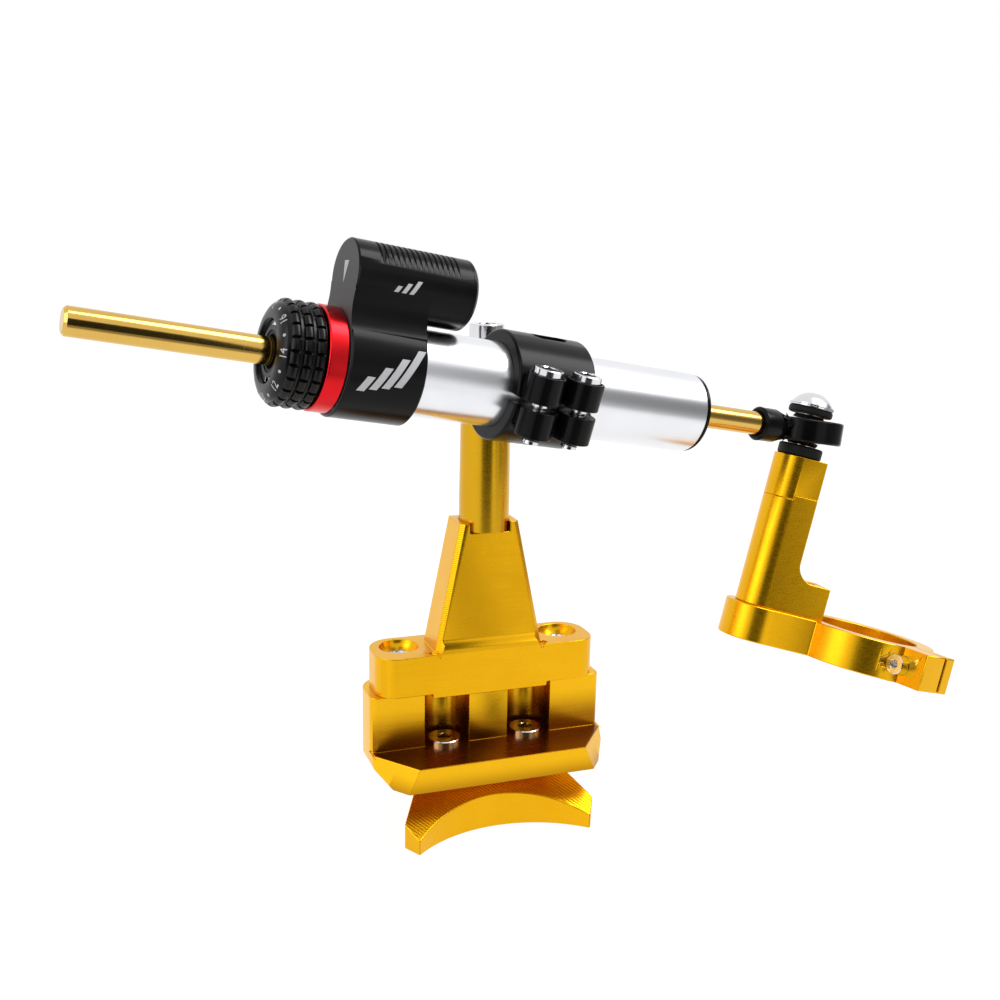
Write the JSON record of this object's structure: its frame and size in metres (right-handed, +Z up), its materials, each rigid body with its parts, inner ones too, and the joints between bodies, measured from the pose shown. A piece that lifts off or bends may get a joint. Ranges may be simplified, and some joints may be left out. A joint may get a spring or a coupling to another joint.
{
  "type": "motorcycle steering damper",
  "caption": "Linear steering damper with through rod, piggyback reservoir and click knob, held by a split clamp on a post bracket, with a ball-jointed arm to a split fork clamp.",
  "frame": {"origin": "on the post axis, at the flat underside of the arc plate", "axes": "+X along the bracket width towards the fork arm, +Y from the bracket's front to its back, +Z up along the post"},
  "size_m": [0.3228, 0.0906, 0.2234],
  "materials": {
    "gold": "gold anodised, satin milled",
    "black": "black anodised, satin",
    "black_steel": "black oxide",
    "red": "red anodised, bright",
    "gold_rod": "ground, gold nitride coated",
    "bare_aluminium": "polished, clear anodised",
    "steel": "zinc plated",
    "bearing_steel": "polished",
    "bronze": "plain bearing bronze",
    "wear_ring": "filled bearing plastic",
    "rubber": "moulded"
  },
  "bodies": {
    "bracket": {"arc_plate": "gold", "lower_block": "gold", "base_screws": "steel", "tower": "gold", "ear_screws": "steel", "post": "gold", "post_screw": "steel", "pivot_bolt": "steel", "pivot_washer": "steel", "pivot_spacers": "steel"},
    "swivel_ball": {"pivot_ball": "bearing_steel"},
    "damper": {"clamp": "black", "clamp_screws": "steel", "pivot_race": "bearing_steel", "tube": "bare_aluminium", "head": "black", "reservoir_cap": "black", "knob_circlip": "steel", "dust_cup": "rubber", "red_ring": "red", "guide_bush_left": "bronze", "guide_bush_right": "bronze", "rod_seal_left": "rubber", "rod_seal_right": "rubber", "end_cap": "black", "end_cap_ring": "rubber"},
    "knob": {"adjuster_knob": "black"},
    "gas_piston": {"floating_piston": "bare_aluminium"},
    "rod_body": {"rod": "gold_rod", "piston": "bare_aluminium", "piston_ring": "wear_ring", "rod_end": "black_steel"},
    "eye_race": {"rod_end_race": "bronze"},
    "fork_arm": {"rod_end_ball": "bearing_steel", "dust_seals": "rubber", "dome_screw": "bearing_steel", "arm_washers": "steel", "collar": "gold", "arm": "gold", "foot_screw": "steel", "fork_plate": "gold", "pinch_screw": "steel"}
  },
  "joints": [
    {"name": "damper_swing", "type": "hinge", "parent": "bracket", "child": "swivel_ball", "pos_m": [0, 0, 0.178], "axis": [0, 0, 1], "range_deg": [-35, 35]},
    {"name": "damper_tilt", "type": "hinge", "parent": "swivel_ball", "child": "damper", "pos_m": [0, 0, 0.178], "axis": [-0.1271, 0.9919, 0], "range_deg": [-18, 2]},
    {"name": "knob_turn", "type": "hinge", "parent": "damper", "child": "knob", "pos_m": [-0.08039, -0.04664, 0.18746], "axis": [0.9765, 0.1251, -0.1754], "range_deg": [-22.5, 315]},
    {"name": "gas_piston_slide", "type": "slide", "parent": "damper", "child": "gas_piston", "axis": [0.9765, 0.1251, -0.1754], "range_m": [-0.008, 0.008]},
    {"name": "rod_slide", "type": "slide", "parent": "damper", "child": "rod_body", "axis": [0.9765, 0.1251, -0.1754], "range_m": [-0.031, 0.032]},
    {"name": "arm_spin", "type": "hinge", "parent": "rod_body", "child": "eye_race", "pos_m": [0.12663, -0.02012, 0.15028], "axis": [0.1647, 0.0914, 0.9821], "range_deg": [-35, 35]},
    {"name": "arm_tilt", "type": "hinge", "parent": "eye_race", "child": "fork_arm", "pos_m": [0.12663, -0.02012, 0.15028], "axis": [-0.1389, 0.9879, -0.0687], "range_deg": [-12, 1]}
  ]
}
